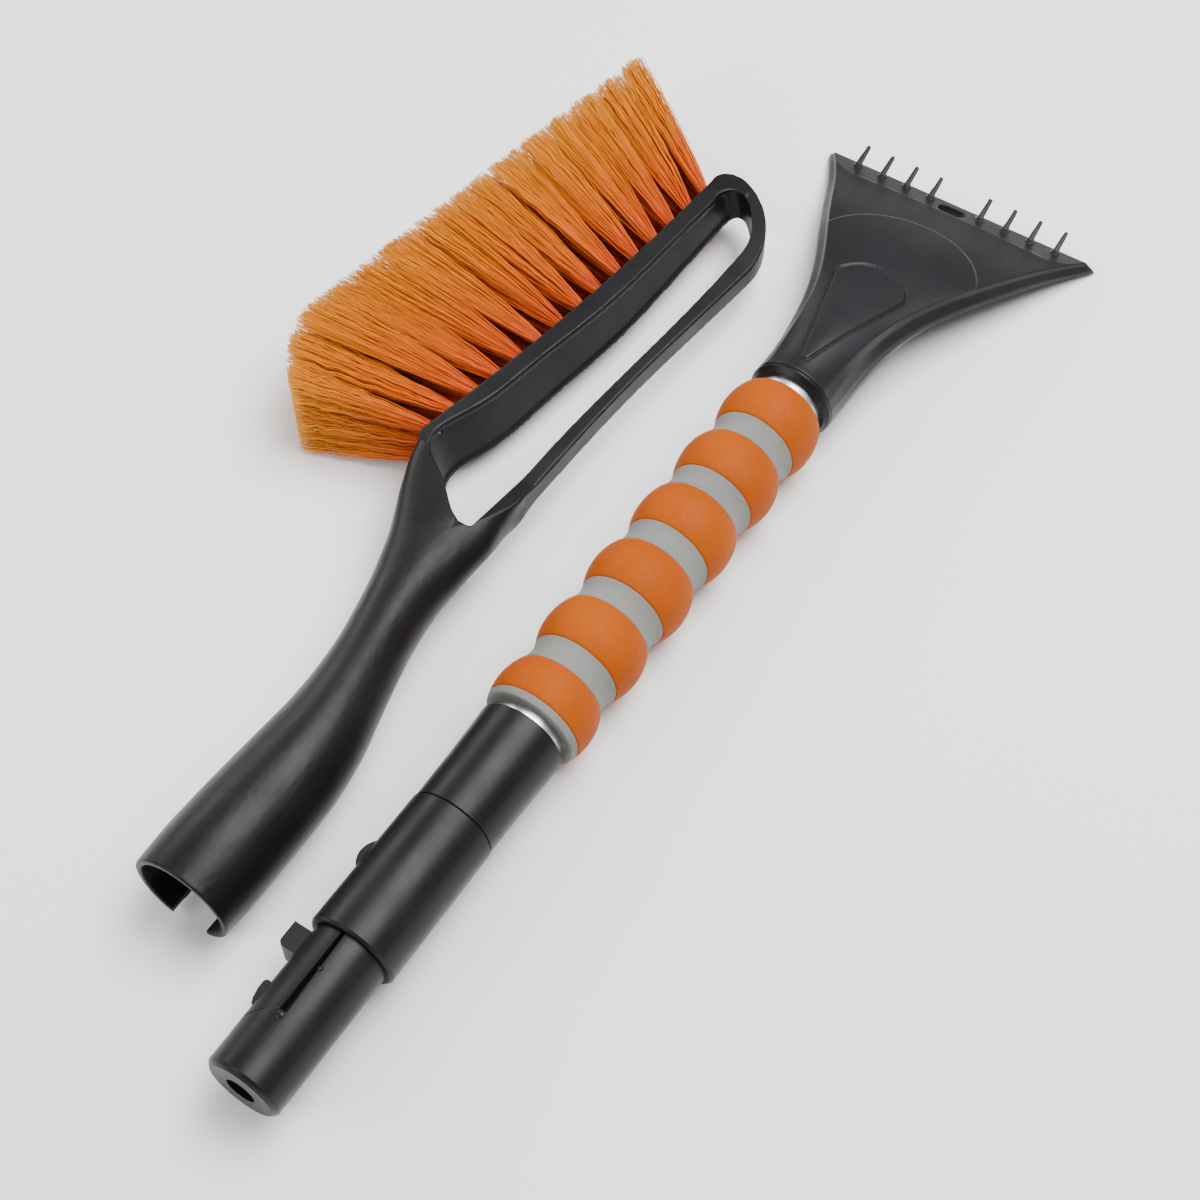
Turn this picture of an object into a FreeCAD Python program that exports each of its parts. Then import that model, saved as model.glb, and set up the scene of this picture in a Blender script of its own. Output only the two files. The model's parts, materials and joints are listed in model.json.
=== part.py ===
import FreeCAD, Part
import math
import os

# Two-piece snow brush and ice scraper. The handle lies along +X with its scraper at the far
# end, and the detached brush lies beside it on the +Y side. Shapes are built round the handle
# axis, with X counted from near the plug's tip, and placed in the row frame by the last step.
V = FreeCAD.Vector
X_AXIS = V(1, 0, 0)
Y_AXIS = V(0, 1, 0)
Z_AXIS = V(0, 0, 1)

# ---- driving dimensions, mm -------------------------------------------------------------
GRIP_RADIUS = 18.0          # foam lobe crests, which rest on the ground
TUBE_RADIUS = 12.5
TUBE_WALL = 1.0
PLUG_RADIUS = 12.7
RUNNING_GAP = 0.05
FIT_GAP = 0.02

PLUG_TIP_X = -3.0
PLUG_SHOULDER_X = 48.0      # collar lip
COLLAR_END_X = 99.0
TUBE_START_X = 104.0
SLEEVE_END_X = 136.5
SPIGOT_END_X = 150.0
PLUG_BORE_RADIUS = 5.0
PLUG_BORE_END_X = 28.0
SHANK_HOLLOW_X = 62.0
SHANK_HOLLOW_RADIUS = 8.0
COLLAR_RADIUS = 15.0
COLLAR_END_RADIUS = 14.75
SLEEVE_RADIUS = 14.4
SLEEVE_END_RADIUS = 15.2

LOBE_COUNT = 6
LOBE_PITCH = 27.6
FIRST_LOBE_X = 148.0
LOBE_ARC = 20.5             # radius of the crest's arc along the grip
ORANGE_HALF = LOBE_PITCH / 3
FOAM_START_X = 139.8
FOAM_END_X = FIRST_LOBE_X + (LOBE_COUNT - 1) * LOBE_PITCH + ORANGE_HALF

NECK_X = 302.6
NECK_RING_LENGTH = 2.4
NECK_RING_RADIUS = 16.0
TUBE_END_X = 345.0
BLADE_TOP_X = 432.0
BLADE_EDGE_X = 434.5
BLADE_HALF_WIDTH = 58.5
BLADE_EDGE_Z = -GRIP_RADIUS
HEAD_WALL = 2.6
TOOTH_TIP_X = 437.5
TOOTH_PITCH = 10.7

LATCH_PIN_X = 53.0
LATCH_PIN_Y = 5.0
LATCH_PIN_RADIUS = 1.5
LEVER_WALL = 2.2
LEVER_NOSE_X = 12.0
LEVER_CORNER_X = 24.0
LEVER_HEEL_X = 57.0
LEVER_EDGE_Y = 1.6

BRUSH_AXIS_Y = 52.6
MOUTH_X = 33.5
SOCKET_RADIUS = 17.9
COLLAR_SOCKET_DEPTH = 22.5
SOCKET_DEPTH = 71.0
SLOT_WIDTH = 13.4
SLOT_LENGTH = 36.0
CATCH_WINDOW_START = 43.0
CATCH_WINDOW_END = 54.0

LOOP_START_X = 210.0
BEAM_START = V(213, 95, 0)
BEAM_END = V(374, 77.5, 0)
BEAM_MIDDLE = V(290, 83.3, 0)
BEAM_HALF_DEPTH = 11.0
BEAM_END_HALF_DEPTH = 7.0
RAIL_HALF_DEPTH = 4.2
WINDOW_LEAN = 0.25          # lean of the beam's inner face
UNDERCUT = 0.7              # of that face under the bead round the window

TUFT_ROWS = 3
TUFTS_PER_ROW = 15
TUFT_ROOT_RADIUS = 1.6
TUFT_TIP_RADIUS = 4.3
TUFT_HOLE_DEPTH = 4.0
BRISTLE_REACH_Y = 160.3
BRISTLE_CREST_X = 233.6

ORIGIN = V((PLUG_TIP_X + TOOTH_TIP_X) / 2, (BRISTLE_REACH_Y - BLADE_HALF_WIDTH) / 2, -GRIP_RADIUS)


# ---- small helpers ----------------------------------------------------------------------
def turned(profile):
    """Solid of revolution about the handle axis from (x, radius) corners."""
    wire = Part.makePolygon([V(x, r, 0) for x, r in profile + profile[:1]])
    return Part.Face(wire).revolve(V(0, 0, 0), X_AXIS, 360)


def rod(x0, x1, radius, y=0.0):
    """Round bar along X."""
    return Part.makeCylinder(radius, x1 - x0, V(x0, y, 0), X_AXIS)


def block(x0, x1, y0, y1, z0, z1):
    return Part.makeBox(x1 - x0, y1 - y0, z1 - z0, V(x0, y0, z0))


def prism(wire, z0, z1):
    """Upright solid over a closed wire drawn at z = 0."""
    face = Part.Face(wire)
    face.translate(V(0, 0, z0))
    return face.extrude(V(0, 0, z1 - z0))


def side_prism(points, y0, y1):
    """Solid across Y from a polygon of (x, z) corners."""
    wire = Part.makePolygon([V(x, y0, z) for x, z in points + points[:1]])
    return Part.Face(wire).extrude(V(0, y1 - y0, 0))


def curve(points):
    """Smooth edge through (x, y) points in the ground plane."""
    spline = Part.BSplineCurve()
    spline.interpolate([V(x, y, 0) for x, y in points])
    return spline.toShape()


def line(a, b):
    return Part.makeLine(V(a[0], a[1], 0), V(b[0], b[1], 0))


def arc_between(a, b, c):
    return Part.Arc(a, b, c).toShape()


# ---- handle -----------------------------------------------------------------------------
def lever_outline(gap):
    """Side outline of the latch lever, a D with its round nose towards the plug's tip."""
    half = PLUG_RADIUS + 1.3
    nose = LEVER_NOSE_X - gap
    corner = LEVER_CORNER_X - gap
    heel = LEVER_HEEL_X + gap
    upper = V(corner, 0, half)
    lower = V(corner, 0, -half)
    edges = [Part.Arc(lower, V(nose, 0, 0), upper).toShape()]
    edges.append(Part.makeLine(upper, V(heel, 0, half)))
    edges.append(Part.makeLine(V(heel, 0, half), V(heel, 0, -half)))
    edges.append(Part.makeLine(V(heel, 0, -half), lower))
    return Part.Wire(edges)


def lever_pocket():
    """Room that the lever swings in, cut from the plug."""
    nose_gap = 0.6
    core_radius = 8.0
    face = Part.Face(lever_outline(nose_gap))
    face.translate(V(0, -6, 0))
    room = face.extrude(V(0, 24, 0))
    room = room.cut(rod(0, SPIGOT_END_X, core_radius))
    wall = Part.makePolygon([V(0, -0.8, -20), V(20, -0.8, -20), V(70, 1.0, -20),
                             V(70, 20, -20), V(0, 20, -20), V(0, -0.8, -20)])
    return room.common(Part.Face(wall).extrude(V(0, 0, 40)))


def latch_pin_rod(radius):
    half_length = 10.9
    return Part.makeCylinder(radius, 2 * half_length,
                             V(LATCH_PIN_X, LATCH_PIN_Y, -half_length), Z_AXIS)


def spring_seat():
    """Blind hole in the plug's core under the thumb button."""
    return Part.makeCylinder(3.4, 8.0, V(32, 3.2, 0), Y_AXIS)


def stop_pip():
    """Moulded button at the end of the lever's groove."""
    return Part.makeSphere(2.2, V(18.0, 0.4, 11.0))


def groove_nub():
    """Small bump on the groove's lower edge."""
    return Part.makeSphere(1.1, V(35.2, -0.5, 12.0))


def plug_screw(low=0.12 - TUBE_RADIUS):
    """Grub screw from below, its end just under the tube's surface."""
    return Part.makeCylinder(1.6, -4.5 - low, V(118, 0, low), Z_AXIS)


def plug_screw_hole():
    return plug_screw(-TUBE_RADIUS - 0.7)


def plug_body():
    nose = 1.6
    bevel = 0.7
    spigot = TUBE_RADIUS - TUBE_WALL - FIT_GAP
    tip = PLUG_TIP_X
    body = turned([(PLUG_BORE_END_X, 0), (PLUG_BORE_END_X, PLUG_BORE_RADIUS),
                   (tip, PLUG_BORE_RADIUS), (tip, PLUG_RADIUS - nose), (tip + bevel, PLUG_RADIUS - bevel),
                   (tip + nose, PLUG_RADIUS), (TUBE_START_X, PLUG_RADIUS), (TUBE_START_X, spigot),
                   (SPIGOT_END_X, spigot), (SPIGOT_END_X, 0)])
    body = body.cut(rod(SHANK_HOLLOW_X, SPIGOT_END_X + 1, SHANK_HOLLOW_RADIUS))
    body = body.fuse(stop_pip())
    body = body.cut(lever_pocket()).fuse(groove_nub())
    body = body.cut(latch_pin_rod(LATCH_PIN_RADIUS))
    body = body.cut(spring_seat())
    return body.cut(plug_screw_hole())


def latch_lever():
    inner = PLUG_RADIUS - LEVER_WALL
    ring = rod(0, LEVER_HEEL_X, PLUG_RADIUS).cut(rod(-1, LEVER_HEEL_X + 1, inner))
    heel = rod(PLUG_SHOULDER_X - 0.6, LEVER_HEEL_X + 1, PLUG_RADIUS + 2)
    heel = heel.cut(rod(0, LEVER_HEEL_X + 2, PLUG_RADIUS - 0.45))
    face = Part.Face(lever_outline(0))
    face.translate(V(0, LEVER_EDGE_Y, 0))
    lever = ring.cut(heel).common(face.extrude(V(0, 20, 0)))
    profile = [(18.2, 11.2), (18.2, 12.5), (20.0, 13.3), (23.0, 13.9), (25.8, 13.9),
               (26.6, 13.1), (26.6, 11.2)]
    catch = Part.makePolygon([V(x, y, -4.5) for x, y in profile + profile[:1]])
    lever = lever.fuse(Part.Face(catch).extrude(V(0, 0, 9)))
    lever = lever.fuse(thumb_button())
    lever = lever.cut(rod(0, LEVER_HEEL_X + 1, inner))
    lever = lever.cut(latch_pin_rod(LATCH_PIN_RADIUS + RUNNING_GAP))
    return lever.removeSplitter()


def thumb_button():
    """Block that stands out through the brush socket's slot, with its lower corner rounded."""
    low, high, half, top, corner = 37.0, 45.4, 5.0, 17.9, 2.0
    edges = [line((high, 11.2), (low, 11.2)), line((low, 11.2), (low, top - corner))]
    middle = corner * (1 - math.sqrt(0.5))
    edges.append(arc_between(V(low, top - corner, 0), V(low + middle, top - middle, 0),
                             V(low + corner, top, 0)))
    edges.append(line((low + corner, top), (high, top)))
    edges.append(line((high, top), (high, 11.2)))
    return prism(Part.Wire(edges), -half, half)


def latch_spring():
    """Compression spring between the plug's core and the lever."""
    wire_radius, coil_radius, pitch, height = 0.35, 2.6, 1.43, 6.0
    path = Part.makeHelix(pitch, height, coil_radius)
    ring = Part.Wire(Part.Circle(V(coil_radius, 0, 0), Y_AXIS, wire_radius).toShape())
    coil = Part.Wire(path).makePipeShell([ring], True, True)
    coil.rotate(V(0, 0, 0), X_AXIS, -90)
    coil.translate(V(32, 3.2 + 2 * wire_radius, 0))
    return coil


def collar():
    bevel = 0.8
    bore = PLUG_RADIUS + RUNNING_GAP
    body = turned([(PLUG_SHOULDER_X, bore), (PLUG_SHOULDER_X, COLLAR_RADIUS - bevel),
                   (PLUG_SHOULDER_X + bevel, COLLAR_RADIUS),
                   (COLLAR_END_X - bevel, COLLAR_END_RADIUS),
                   (COLLAR_END_X, COLLAR_END_RADIUS - bevel), (COLLAR_END_X, bore)])
    hump_radius = 7.3
    hump = Part.makeCylinder(hump_radius, 9, V(74.8, COLLAR_RADIUS + 1.3 - hump_radius, -4.5), Z_AXIS)
    hump = hump.cut(rod(0, COLLAR_END_X, COLLAR_RADIUS - 1.2))
    return body.fuse(hump).removeSplitter()


def end_sleeve():
    bevel = 0.6
    bore = PLUG_RADIUS + RUNNING_GAP
    tube_bore = TUBE_RADIUS + FIT_GAP
    middle = 0.5 * (COLLAR_END_X + SLEEVE_END_X)
    return turned([(COLLAR_END_X, bore), (COLLAR_END_X, SLEEVE_RADIUS), (middle, SLEEVE_RADIUS + 0.2),
                   (SLEEVE_END_X - bevel, SLEEVE_END_RADIUS), (SLEEVE_END_X, SLEEVE_END_RADIUS - bevel),
                   (SLEEVE_END_X, tube_bore), (TUBE_START_X, tube_bore), (TUBE_START_X, bore)])


def handle_tube():
    inner = TUBE_RADIUS - TUBE_WALL
    tube = turned([(TUBE_START_X, inner), (TUBE_START_X, TUBE_RADIUS), (TUBE_END_X, TUBE_RADIUS),
                   (TUBE_END_X, inner)])
    return tube.cut(plug_screw_hole()).cut(head_screw())


def lobe_edge_radius():
    return GRIP_RADIUS - (LOBE_ARC - math.sqrt(LOBE_ARC ** 2 - ORANGE_HALF ** 2))


def grip_outline(from_x, to_x, middle_x, centre_x, crest):
    """Arc along the grip: crests bulge out, valleys run in tangent to them."""
    def radius(x):
        dx = x - centre_x
        if crest:
            return GRIP_RADIUS - LOBE_ARC + math.sqrt(LOBE_ARC ** 2 - dx ** 2)
        half = LOBE_PITCH / 2 - ORANGE_HALF
        slope = ORANGE_HALF / math.sqrt(LOBE_ARC ** 2 - ORANGE_HALF ** 2)
        valley_arc = half * math.sqrt(1 + slope ** 2) / slope
        rise = math.sqrt(valley_arc ** 2 - half ** 2)
        return lobe_edge_radius() + rise - math.sqrt(valley_arc ** 2 - dx ** 2)
    return Part.Arc(V(from_x, radius(from_x), 0), V(middle_x, radius(middle_x), 0),
                    V(to_x, radius(to_x), 0)).toShape()


def foam_ring(from_x, to_x, centre_x, crest):
    bore = TUBE_RADIUS + RUNNING_GAP
    top = grip_outline(from_x, to_x, 0.5 * (from_x + to_x), centre_x, crest)
    start = top.Vertexes[0].Point
    end = top.Vertexes[-1].Point
    edges = [top, Part.makeLine(end, V(to_x, bore, 0)), Part.makeLine(V(to_x, bore, 0), V(from_x, bore, 0)),
             Part.makeLine(V(from_x, bore, 0), start)]
    return Part.Face(Part.Wire(edges)).revolve(V(0, 0, 0), X_AXIS, 360)


def foam_rings():
    rings = {}
    start = FIRST_LOBE_X - ORANGE_HALF
    end_ring_top = FOAM_START_X + 2.6
    rings["foam_grey_1"] = foam_ring(FOAM_START_X, end_ring_top, FIRST_LOBE_X, True)
    for k in range(LOBE_COUNT):
        crest_x = FIRST_LOBE_X + k * LOBE_PITCH
        low = end_ring_top if k == 0 else start + k * LOBE_PITCH
        high = crest_x + ORANGE_HALF
        rings["foam_orange_%d" % (k + 1)] = foam_ring(low, high, crest_x, True)
        if k < LOBE_COUNT - 1:
            valley_x = crest_x + LOBE_PITCH / 2
            rings["foam_grey_%d" % (k + 2)] = foam_ring(high, high + LOBE_PITCH - 2 * ORANGE_HALF,
                                                        valley_x, False)
    return rings


def neck_ring():
    """Black ring between the bare tube and the scraper, with a broad chamfer towards the grip."""
    chamfer = 1.6
    start = NECK_X - NECK_RING_LENGTH
    bore = TUBE_RADIUS + RUNNING_GAP
    return turned([(start, bore), (start, NECK_RING_RADIUS - chamfer), (start + chamfer, NECK_RING_RADIUS),
                   (NECK_X, NECK_RING_RADIUS), (NECK_X, bore)])


def tube_plug():
    spigot = TUBE_RADIUS - TUBE_WALL - FIT_GAP
    stopper = turned([(318, 0), (318, spigot), (TUBE_END_X, spigot), (TUBE_END_X, 6), (326, 6), (326, 0)])
    return stopper.cut(head_screw())


def head_screw():
    """Pan-head self-tapper, let into the neck from below, with a cross recess."""
    x, head_low, head_high, tip = 333.0, -16.0, -13.8, -7.0
    head = Part.makeCylinder(3.3, head_high - head_low, V(x, 0, head_low), Z_AXIS)
    shaft = Part.makeCylinder(1.7, tip - head_high, V(x, 0, head_high), Z_AXIS)
    screw = head.fuse(shaft)
    screw = screw.cut(block(x - 2, x + 2, -0.4, 0.4, head_low, head_low + 1.2))
    return screw.cut(block(x - 0.4, x + 0.4, -2, 2, head_low, head_low + 1.2))


# ---- scraper head -----------------------------------------------------------------------
# Stations along the head: x, crown height, then (half-width, height) of the crease, the step
# below it, the flange's lip and its rim, and last the height of the underside's middle.
HEAD_STATIONS = [
    (NECK_X, 16.0, (12.0, 10.6), (14.3, 7.4), (15.8, 3.6), (16.2, 0.0), -16.2),
    (322, 15.2, (12.6, 10.6), (14.2, 7.6), (16.2, 3.4), (16.9, 0.2), -16.2),
    (346, 12.0, (16.5, 8.8), (17.2, 6.2), (19.8, 3.6), (20.6, 1.8), -15.8),
    (364, 8.7, (22.7, 6.6), (23.3, 4.3), (26.0, 1.8), (26.6, 0.0), -13.0),
    (382, 5.2, (31.0, 3.9), (31.5, 1.7), (34.0, -1.0), (34.6, -2.8), -9.0),
    (400, 0.4, (39.0, -0.8), (39.5, -2.9), (41.8, -5.2), (42.4, -7.0), -10.5),
    (418, -5.4, (47.0, -7.0), (47.4, -9.0), (49.6, -10.6), (50.2, -12.2), -14.2),
    (BLADE_EDGE_X, -11.0, (56.4, -12.2), (56.8, -13.8), (58.2, -16.4), (BLADE_HALF_WIDTH, BLADE_EDGE_Z),
     BLADE_EDGE_Z),
]
PANEL_LIFT = 0.6
PANEL_SIDE = V(382, 31, 0)      # where the panel's bowed front edge meets the crease
PANEL_FRONT_X = 404.0


def head_section(x, crown, crease, step, lip, rim, under, lift=0.0):
    side = [(crease[0], crease[1] + lift), step, lip, rim]
    left = [V(x, w, z) for w, z in side]
    right = [V(x, -w, z) for w, z in side]
    edges = [Part.Arc(left[0], V(x, 0, crown + lift), right[0]).toShape()]
    edges += [Part.makeLine(a, b) for a, b in zip(right, right[1:])]
    if abs(under - rim[1]) < 0.01:
        edges.append(Part.makeLine(right[-1], left[-1]))
    else:
        edges.append(Part.Arc(right[-1], V(x, 0, under), left[-1]).toShape())
    edges += [Part.makeLine(b, a) for a, b in reversed(list(zip(left, left[1:])))]
    return Part.Wire(edges)


def head_loft(lift=0.0):
    return Part.makeLoft([head_section(*station, lift=lift) for station in HEAD_STATIONS], True, False)


def cavity_section(x, crown, crease, rim):
    floor = -30.0
    inner = max(crease[0] - HEAD_WALL, 4.0)
    skirt = rim[0] - HEAD_WALL
    left = V(x, inner, crease[1] - HEAD_WALL)
    right = V(x, -inner, crease[1] - HEAD_WALL)
    edges = [Part.Arc(left, V(x, 0, crown - HEAD_WALL), right).toShape()]
    corners = [right, V(x, -skirt, rim[1]), V(x, -skirt, floor), V(x, skirt, floor),
               V(x, skirt, rim[1]), left]
    for a, b in zip(corners, corners[1:]):
        edges.append(Part.makeLine(a, b))
    return Part.Wire(edges)


def head_cavity():
    """Hollow underside between the tube's socket and the blade lip."""
    stations = [(349, 11.4, (17.4, 8.5), (21.5, 1.5))]
    stations += [(s[0], s[1], s[2], s[5]) for s in HEAD_STATIONS[3:6]]
    stations.append((417, -5.0, (46.6, -6.6), (49.8, -11.9)))
    return Part.makeLoft([cavity_section(*s) for s in stations], True, False)


def front_panel():
    """Plan outline of the raised top, whose front edge bows towards the blade."""
    back, wide = NECK_X - 1, 40.0
    side = PANEL_SIDE
    far_side = V(side.x, -side.y, 0)
    edges = [arc_between(side, V(PANEL_FRONT_X, 0, 0), far_side)]
    corners = [(side.x, -side.y), (side.x, -wide), (back, -wide), (back, wide), (side.x, wide),
               (side.x, side.y)]
    edges += [line(a, b) for a, b in zip(corners, corners[1:])]
    return Part.Wire(edges)


def shield_outline():
    """Plan outline of the shield on the neck: narrow towards the grip, round-cornered in front."""
    nose, shoulder, round_end = (309, 1.5), (354.1, 13.5), (362.5, 11.9)
    edges = [line((nose[0], -nose[1]), nose), line(nose, shoulder)]
    edges.append(arc_between(V(*shoulder, 0), V(358.7, 13.95, 0), V(*round_end, 0)))
    edges.append(arc_between(V(*round_end, 0), V(368, 0, 0), V(round_end[0], -round_end[1], 0)))
    edges.append(arc_between(V(round_end[0], -round_end[1], 0), V(358.7, -13.95, 0),
                             V(shoulder[0], -shoulder[1], 0)))
    edges.append(line((shoulder[0], -shoulder[1]), (nose[0], -nose[1])))
    return Part.Wire(edges)


def shield_groove():
    """Shallow groove that draws the shield on the raised top."""
    half_width, depth = 0.5, 0.7
    outer = shield_outline().makeOffset2D(half_width)
    inner = shield_outline().makeOffset2D(-half_width)
    band = prism(outer, -5, 30).cut(prism(inner, -5, 30))
    skin = head_loft(PANEL_LIFT + 0.2).cut(head_loft(PANEL_LIFT - depth))
    return band.common(skin)


def ice_tooth(y):
    """Pyramid foot that runs up into a thin square spike leaning over the blade."""
    stages = [(427.0, -13.4, 3.0), (428.4, -11.0, 1.7), (429.2, -9.6, 1.0)]
    floors = []
    for x, z, half in stages:
        corners = [V(x - half, y - half, z), V(x + half, y - half, z), V(x + half, y + half, z),
                   V(x - half, y + half, z)]
        floors.append(Part.makePolygon(corners + corners[:1]))
    ends = []
    for x, z, half in ((428.2, -10.6, 1.1), (TOOTH_TIP_X, -7.4, 0.75)):
        corners = [V(x, y - half, z - half), V(x, y + half, z - half), V(x, y + half, z + half),
                   V(x, y - half, z + half)]
        ends.append(Part.makePolygon(corners + corners[:1]))
    return Part.makeLoft(floors, True, True).fuse(Part.makeLoft(ends, True, True))


def hanging_hole():
    """Obround hole behind the blade, wider across than along."""
    half_wide, radius, x = 5.6, 2.7, 425.6
    flat = half_wide - radius
    hole = Part.makeCylinder(radius, 40, V(x, flat, -30), Z_AXIS)
    hole = hole.fuse(Part.makeCylinder(radius, 40, V(x, -flat, -30), Z_AXIS))
    return hole.fuse(block(x - radius, x + radius, -flat, flat, -30, 10))


def blade_bevels():
    """Flat land that the arched top runs out on, and the steeper bevel down to the blade's edge."""
    return side_prism([(421, -7.6), (BLADE_TOP_X, -12.0), (BLADE_EDGE_X, BLADE_EDGE_Z),
                       (450, BLADE_EDGE_Z), (450, 20), (421, 20)], -80, 80)


def scraper_head():
    head = head_loft()
    pad = head_loft(PANEL_LIFT).common(prism(front_panel(), -4, 30))
    head = head.fuse(pad).cut(shield_groove())
    head = head.cut(blade_bevels())
    head = head.cut(head_cavity())
    for y in (-24.0, 0.0, 24.0):
        rib_start = 347.0 if y == 0 else 372.0
        rib = side_prism([(rib_start, 6), (rib_start, -6.5), (418.5, -13.0), (418.5, -6)], y - 1.1, y + 1.1)
        head = head.fuse(rib.common(head_loft()))
    for k in range(4):
        for side in (-1, 1):
            head = head.fuse(ice_tooth(side * (k + 1) * TOOTH_PITCH))
    head = head.cut(rod(NECK_X - 1, TUBE_END_X, TUBE_RADIUS + FIT_GAP))
    head = head.cut(Part.makeCylinder(3.3, 20, V(333, 0, -33.8), Z_AXIS))
    head = head.cut(head_screw())
    return head.cut(hanging_hole())


# ---- brush ------------------------------------------------------------------------------
# Stations along the socket and goose-neck: x, centre y, half-width, half-depth and the
# squareness of the section's bristle side and rail side (2 is an ellipse, more is boxier).
ARM_STATIONS = [
    (MOUTH_X, 52.8, SOCKET_RADIUS - 0.6, SOCKET_RADIUS - 0.6, 2.0, 2.0),
    (47, 52.8, SOCKET_RADIUS - 0.1, SOCKET_RADIUS - 0.1, 2.0, 2.0),
    (62, 52.6, 17.6, 17.6, 2.0, 2.0),
    (77, 52.3, 17.1, 17.2, 2.0, 2.0),
    (90, 52.3, 16.3, 16.5, 2.0, 2.0),
    (104, 53.0, 14.8, 15.4, 2.0, 2.0),
    (118, 55.0, 13.0, 14.1, 2.1, 2.0),
    (132, 57.6, 11.9, 13.0, 2.2, 2.0),
    (146, 60.6, 11.9, 12.2, 2.3, 2.0),
    (161, 63.5, 12.9, 11.6, 2.5, 2.0),
    (176, 66.0, 15.6, 11.2, 3.0, 2.0),
    (190, 68.8, 18.9, BEAM_HALF_DEPTH, 4.5, 2.2),
    (202, 71.6, 20.6, BEAM_HALF_DEPTH, 7.0, 3.4),
    (212, 73.1, 21.9, BEAM_HALF_DEPTH, 9.0, 7.0),
]


def smoothed(stations, step):
    """Evenly spaced stations on a smooth curve through the given ones."""
    count = len(stations)
    slopes = []
    for i in range(count):
        a, b = stations[max(i - 1, 0)], stations[min(i + 1, count - 1)]
        slopes.append([(q - p) / (b[0] - a[0]) for p, q in zip(a, b)])
    result = []
    total = round((stations[-1][0] - stations[0][0]) / step)
    for k in range(total + 1):
        x = stations[0][0] + (stations[-1][0] - stations[0][0]) * k / total
        i = max(j for j in range(count - 1) if stations[j][0] <= x + 1e-9)
        a, b = stations[i], stations[i + 1]
        run = b[0] - a[0]
        t = (x - a[0]) / run
        row = [x]
        for c in range(1, len(a)):
            rise = (2 * t ** 3 - 3 * t ** 2 + 1) * a[c] + (3 * t ** 2 - 2 * t ** 3) * b[c]
            bend = (t ** 3 - 2 * t ** 2 + t) * slopes[i][c] + (t ** 3 - t ** 2) * slopes[i + 1][c]
            row.append(rise + bend * run)
        result.append(tuple(row))
    return result


def arm_section(x, centre, half_width, half_depth, bristle_side, rail_side):
    count = 28
    points = []
    for k in range(count):
        angle = 2 * math.pi * k / count
        c, s = math.cos(angle), math.sin(angle)
        power = 2 / (bristle_side if c > 0 else rail_side)
        y = half_width * math.copysign(abs(c) ** power, c)
        z = half_depth * math.copysign(abs(s) ** power, s)
        points.append(V(x, centre + y, z))
    spline = Part.BSplineCurve()
    spline.interpolate(points, PeriodicFlag=True)
    return Part.Wire(spline.toShape())


def beam_half_depth(x):
    share = (x - BEAM_START.x) / (BEAM_END.x - BEAM_START.x)
    return BEAM_HALF_DEPTH + (BEAM_END_HALF_DEPTH - BEAM_HALF_DEPTH) * share


def beam_edge():
    return Part.Arc(BEAM_START, BEAM_MIDDLE, BEAM_END)


def loop_outline():
    """Outside of the loop: beam, far bend, rail, and back to the goose-neck."""
    rail_start = (LOOP_START_X, 51.25)
    far = (346, 42.6)
    edges = [line((LOOP_START_X, 93.9), (BEAM_START.x, BEAM_START.y)), beam_edge().toShape()]
    edges.append(curve([(BEAM_END.x, BEAM_END.y), (379.6, 76.0), (381.8, 71.5), (379.8, 63.5),
                        (371.5, 52.6), (359, 45.0), far]))
    edges.append(curve([far, (311, 46.0), (278, 49.0), (245, 50.6), rail_start]))
    edges.append(line(rail_start, (LOOP_START_X, 93.9)))
    return Part.Wire(edges)


def window_outline(z=0.0):
    """Opening between beam and rail at one height; the beam's inner face leans back upwards."""
    lean = WINDOW_LEAN * z
    beam_side = [(209.6, 86.2), (213, 87.3), (230, 83.3), (260, 77.8), (295, 72.6), (336, 70.3), (366, 69.1)]
    beam_side = [(x, y + lean) for x, y in beam_side]
    near, far = beam_side[0], beam_side[-1]
    edges = [curve(beam_side)]
    edges.append(curve([far, (372.4, 68.4 + lean), (374.2, 64.4), (368.0, 56.2), (358, 50.8), (346, 50.0)]))
    edges.append(curve([(346, 50.0), (294, 52.6), (241, 56.3), (206, 57.0), (192, 57.2)]))
    edges.append(curve([(192, 57.2), (189.2, 58.2), (188.8, 61.2), (192, 67.4), (201, 77.4),
                        (207.4, 84.4 + lean), near]))
    wire = Part.Wire(edges)
    wire.translate(V(0, 0, z))
    return wire


def window_opening():
    reach = 14.0
    return Part.makeLoft([window_outline(-reach), window_outline(reach)], True, True)


def wedge(inset):
    """Envelope whose depth tapers along the beam."""
    start, end = 150.0, 400.0
    top = [(start, BEAM_HALF_DEPTH - inset), (BEAM_START.x, BEAM_HALF_DEPTH - inset),
           (end, beam_half_depth(end) - inset)]
    return side_prism(top + [(x, -z) for x, z in reversed(top)], 0, 200)


def rail_relief(side):
    """Takes the rail and the far bend down to their own depth, above or below."""
    start, end = 182.0, BEAM_END.x + 5
    profile = [(start, BEAM_HALF_DEPTH), (218, RAIL_HALF_DEPTH), (345, RAIL_HALF_DEPTH),
               (end, BEAM_END_HALF_DEPTH), (end, 20), (start, 20)]
    return side_prism([(x, side * z) for x, z in profile], 30, 62.5)


def socket_bore():
    collar_bore = rod(MOUTH_X - 1, MOUTH_X + COLLAR_SOCKET_DEPTH, COLLAR_RADIUS + RUNNING_GAP, BRUSH_AXIS_Y)
    return collar_bore.fuse(rod(MOUTH_X, MOUTH_X + SOCKET_DEPTH, PLUG_RADIUS + RUNNING_GAP, BRUSH_AXIS_Y))


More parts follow.
